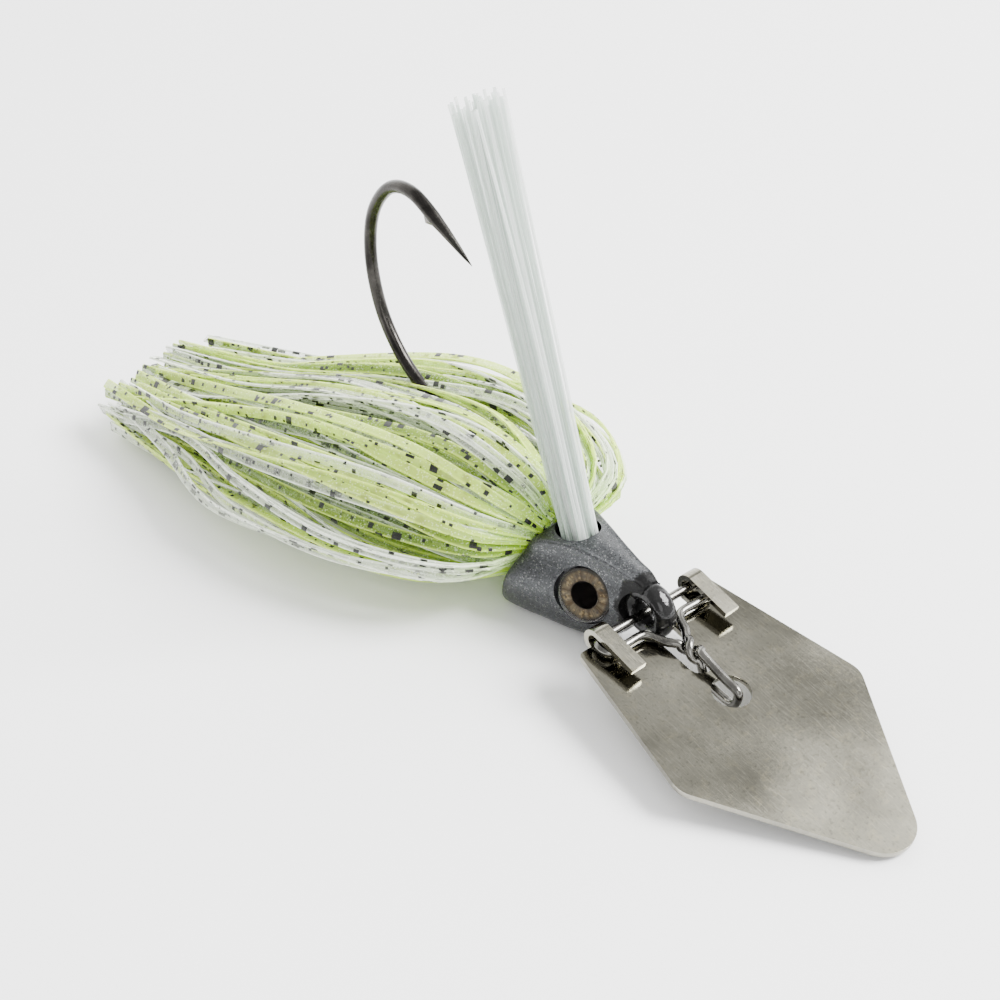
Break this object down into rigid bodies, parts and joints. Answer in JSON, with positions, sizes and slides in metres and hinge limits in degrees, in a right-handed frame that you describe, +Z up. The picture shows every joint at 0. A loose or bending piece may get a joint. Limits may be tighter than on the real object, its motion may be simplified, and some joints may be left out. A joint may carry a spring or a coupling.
{
  "type": "bladed jig fishing lure",
  "caption": "Bladed jig: eyed lead head on a hook with a bristle weed guard and a speckled silicone skirt, and a flat steel blade hung from the ring eye by a twisted wire link.",
  "frame": {"origin": "under the middle of the whole lure, on the surface that it lies on", "axes": "+X forward along the lure, from the skirt to the blade; +Z up, the way the hook's point and the weed guard stand; +Y to the lure's left"},
  "size_m": [0.0986, 0.0362, 0.0483],
  "materials": {
    "powder_coat": "satin grey powder coat over lead",
    "black_nickel": "polished black nickel",
    "blade_steel": "polished, tarnished and finely scratched",
    "link_steel": "drawn wire",
    "iris_foil": "mottled metallic foil",
    "clear_dome": "clear",
    "nylon_bristle": "translucent",
    "glued_nylon": "glue soaked",
    "band_rubber": "matte",
    "chartreuse_silicone": "translucent with black flakes",
    "pearl_silicone": "clear pearl with black flakes and fine glitter"
  },
  "bodies": {
    "jig_head": {"head_casting": "powder_coat", "hook": "black_nickel", "eye_foil_right": "iris_foil", "eye_foil_left": "iris_foil", "eye_dome_right": "clear_dome", "eye_dome_left": "clear_dome", "guard_base": "glued_nylon", "skirt_band": "band_rubber", "skirt_strands_01_chartreuse": "chartreuse_silicone", "skirt_strands_02_pearl": "pearl_silicone", "skirt_strands_03_chartreuse": "chartreuse_silicone", "skirt_strands_04_pearl": "pearl_silicone", "skirt_strands_05_chartreuse": "chartreuse_silicone", "skirt_strands_06_pearl": "pearl_silicone", "skirt_strands_07_chartreuse": "chartreuse_silicone", "skirt_strands_08_pearl": "pearl_silicone", "skirt_strands_09_chartreuse": "chartreuse_silicone", "skirt_strands_10_pearl": "pearl_silicone", "skirt_strands_11_chartreuse": "chartreuse_silicone", "skirt_strands_12_pearl": "pearl_silicone", "skirt_strands_13_chartreuse": "chartreuse_silicone", "skirt_strands_14_pearl": "pearl_silicone", "skirt_strands_15_chartreuse": "chartreuse_silicone", "skirt_strands_16_pearl": "pearl_silicone", "skirt_strands_17_chartreuse": "chartreuse_silicone", "skirt_strands_18_pearl": "pearl_silicone"},
    "weed_guard": {"guard_bristles_1": "nylon_bristle", "guard_bristles_2": "nylon_bristle", "guard_bristles_3": "nylon_bristle", "guard_bristles_4": "nylon_bristle", "guard_bristles_5": "nylon_bristle", "guard_bristles_6": "nylon_bristle", "guard_bristles_7": "nylon_bristle"},
    "link": {"link_wire": "link_steel"},
    "blade": {"blade": "blade_steel"}
  },
  "joints": [
    {"name": "link_swing", "type": "hinge", "parent": "jig_head", "child": "link", "pos_m": [0.01824, 0.00315, 0.00578], "axis": [0, 1, 0], "range_deg": [-45, 60]},
    {"name": "blade_rock", "type": "hinge", "parent": "link", "child": "blade", "pos_m": [0.01824, 0.00315, 0.00578], "axis": [0, 1, 0], "range_deg": [-2, 2]},
    {"name": "guard_flex", "type": "hinge", "parent": "jig_head", "child": "weed_guard", "pos_m": [0.00843, 0.00315, 0.00997], "axis": [0, 1, 0], "range_deg": [-9, 12], "stiffness_Nm_per_rad": 0.02}
  ]
}
